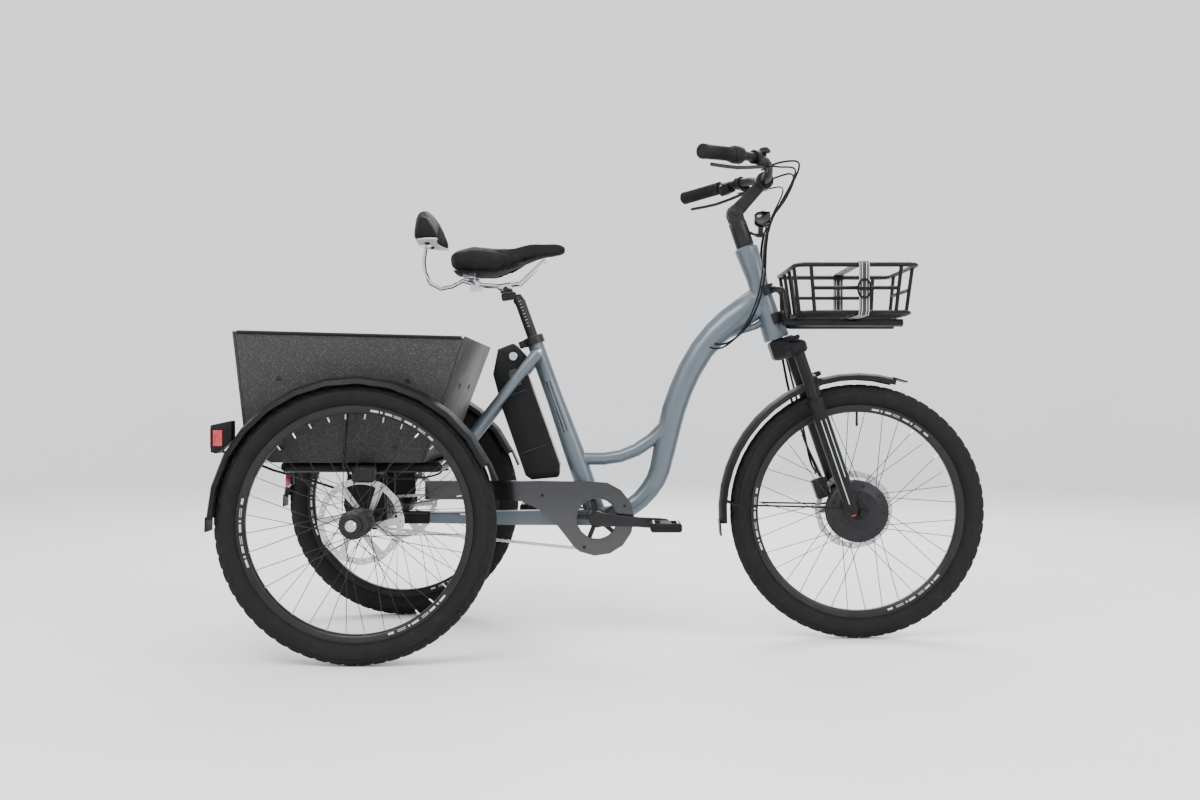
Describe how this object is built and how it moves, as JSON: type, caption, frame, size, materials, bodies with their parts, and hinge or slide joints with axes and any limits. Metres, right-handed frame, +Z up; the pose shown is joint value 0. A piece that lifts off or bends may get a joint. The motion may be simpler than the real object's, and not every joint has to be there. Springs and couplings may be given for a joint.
{
  "type": "electric cargo tricycle",
  "caption": "Three-wheeled electric cargo cycle: low step-through frame, sprung front fork with hub motor, open cargo box between the rear wheels, front basket and seat with backrest.",
  "frame": {"origin": "on the ground, under the middle of the whole tricycle's outer box", "axes": "+X the way it rides, +Y to the rider's left, +Z up"},
  "size_m": [1.7818, 0.8, 1.1644],
  "materials": {
    "aluminium": "satin aluminium",
    "black_alloy": "black anodised aluminium",
    "black_paint": "satin black paint",
    "black_plastic": "fine grained black plastic",
    "box_panel": "dark grey speckled sheet",
    "chrome": "bright chrome",
    "frame_paint": "satin blue-grey paint",
    "gloss_black": "gloss black plastic",
    "grip_rubber": "patterned black rubber",
    "red_lens": "red lens",
    "saddle_cover": "black synthetic leather",
    "steel": "brushed steel",
    "tyre_rubber": "matt black rubber"
  },
  "bodies": {
    "saddle": {"backrest_pad": "saddle_cover", "saddle": "saddle_cover", "saddle_rails_backrest_rod": "chrome"},
    "frame": {"basket_bracket": "black_paint", "box_floor": "box_panel", "box_front_panel": "box_panel", "box_rear_panel": "box_panel", "box_side_left": "box_panel", "box_side_right": "box_panel", "chain": "steel", "chain_guard": "gloss_black", "front_basket": "black_paint", "main_frame": "frame_paint", "rear_brake_caliper_left": "black_alloy", "rear_brake_caliper_right": "black_alloy", "rear_carrier": "black_paint", "rear_mudguard_left": "black_plastic", "rear_mudguard_right": "black_plastic", "rear_reflector": "red_lens", "seat_clamp": "black_alloy", "tail_light": "red_lens"},
    "battery": {"battery": "black_plastic"},
    "battery_lock": {"battery_lock": "aluminium"},
    "lever_left": {"brake_lever_left": "black_alloy"},
    "lever_right": {"brake_lever_right": "black_alloy"},
    "cassette": {"cassette": "steel"},
    "crank": {"crank_left": "black_alloy", "crank_right_chainring": "black_alloy"},
    "stem": {"display_unit": "black_plastic", "grip_left": "grip_rubber", "grip_right": "grip_rubber", "handlebar": "black_paint", "stem_arm": "black_alloy"},
    "steering": {"fork_crown_stanchions": "black_paint", "stem_base": "black_alloy"},
    "fork_knob": {"fork_lockout_knob": "black_plastic"},
    "fork_lowers": {"fork_lower_legs": "black_paint", "front_brake_caliper": "black_alloy", "front_mudguard": "black_plastic"},
    "front_wheel": {"front_motor_hub": "black_alloy", "front_rim": "black_alloy", "front_rotor": "steel", "front_tyre": "tyre_rubber"},
    "headlight": {"headlight": "gloss_black"},
    "pedal_left": {"pedal_left": "black_plastic"},
    "pedal_right": {"pedal_right": "black_plastic"},
    "wheel_left": {"rear_left_axle": "steel", "rear_left_hub": "black_alloy", "rear_left_rim": "black_alloy", "rear_left_rotor": "steel", "rear_left_tyre": "tyre_rubber"},
    "wheel_right": {"rear_right_axle": "steel", "rear_right_hub": "black_alloy", "rear_right_rim": "black_alloy", "rear_right_rotor": "steel", "rear_right_tyre": "tyre_rubber"},
    "seatpost": {"seatpost": "black_alloy"},
    "shifter": {"twist_shifter": "black_plastic"}
  },
  "joints": [
    {"name": "steering", "type": "hinge", "parent": "frame", "child": "steering", "pos_m": [0.35145, 0, 0.8371], "axis": [-0.3223, 0, 0.9466], "range_deg": [-45, 45]},
    {"name": "fork_travel", "type": "slide", "parent": "steering", "child": "fork_lowers", "axis": [-0.3223, 0, 0.9466], "range_m": [0, 0.045], "stiffness_N_per_m": 9000, "springref_m": -0.03},
    {"name": "front_wheel_spin", "type": "hinge", "parent": "fork_lowers", "child": "front_wheel", "pos_m": [0.58335, 0, 0.3075], "axis": [0, 1, 0], "continuous": true},
    {"name": "rear_wheel_right_spin", "type": "hinge", "parent": "frame", "child": "wheel_right", "pos_m": [-0.56865, -0.34, 0.3075], "axis": [0, 1, 0], "continuous": true},
    {"name": "rear_wheel_left_spin", "type": "hinge", "parent": "frame", "child": "wheel_left", "pos_m": [-0.56865, 0.34, 0.3075], "axis": [0, 1, 0], "continuous": true},
    {"name": "crank_spin", "type": "hinge", "parent": "frame", "child": "crank", "pos_m": [-0.04665, 0, 0.2945], "axis": [0, 1, 0], "continuous": true},
    {"name": "cassette_spin", "type": "hinge", "parent": "frame", "child": "cassette", "pos_m": [-0.56865, 0, 0.3075], "axis": [0, 1, 0], "continuous": true},
    {"name": "pedal_right_spin", "type": "hinge", "parent": "crank", "child": "pedal_right", "pos_m": [0.11303, -0.155, 0.28445], "axis": [0, 1, 0], "continuous": true},
    {"name": "pedal_left_spin", "type": "hinge", "parent": "crank", "child": "pedal_left", "pos_m": [-0.20633, 0.155, 0.30455], "axis": [0, 1, 0], "continuous": true},
    {"name": "seatpost_height", "type": "slide", "parent": "frame", "child": "seatpost", "axis": [-0.3378, 0, 0.9412], "range_m": [-0.05, 0.08]},
    {"name": "saddle_tilt", "type": "hinge", "parent": "seatpost", "child": "saddle", "pos_m": [-0.27015, 0, 0.8443], "axis": [0, 1, 0], "range_deg": [-10, 10]},
    {"name": "stem_tilt", "type": "hinge", "parent": "steering", "child": "stem", "pos_m": [0.28785, 0, 1.0306], "axis": [0, 1, 0], "range_deg": [-30, 20]},
    {"name": "headlight_tilt", "type": "hinge", "parent": "steering", "child": "headlight", "pos_m": [0.34985, 0, 0.9855], "axis": [0, 1, 0], "range_deg": [-15, 15]},
    {"name": "fork_lockout", "type": "hinge", "parent": "steering", "child": "fork_knob", "pos_m": [0.42319, -0.065, 0.71944], "axis": [-0.3223, 0, 0.9466], "range_deg": [0, 90]},
    {"name": "gear_twist", "type": "hinge", "parent": "stem", "child": "shifter", "pos_m": [0.28035, -0.22, 1.13], "axis": [-0.6427, -0.762, -0.0795], "range_deg": [-60, 60]},
    {"name": "brake_lever_right_pull", "type": "hinge", "parent": "stem", "child": "lever_right", "pos_m": [0.34035, -0.178, 1.1125], "axis": [-0.5874, 0.5568, -0.5873], "range_deg": [0, 3], "stiffness_Nm_per_rad": 2, "springref_deg": -4.58},
    {"name": "brake_lever_left_pull", "type": "hinge", "parent": "stem", "child": "lever_left", "pos_m": [0.34035, 0.178, 1.1125], "axis": [0.5874, 0.5568, 0.5873], "range_deg": [0, 3], "stiffness_Nm_per_rad": 2, "springref_deg": -4.58},
    {"name": "battery_release", "type": "slide", "parent": "frame", "child": "battery", "axis": [-0.7071, 0, 0.7071], "range_m": [0, 0.05]},
    {"name": "battery_key", "type": "hinge", "parent": "battery", "child": "battery_lock", "pos_m": [-0.24765, -0.0405, 0.6814], "axis": [0, -1, 0], "range_deg": [0, 90]}
  ],
  "couplings": [
    {"joint": "cassette_spin", "follows": "crank_spin", "ratio": 2.1111}
  ]
}
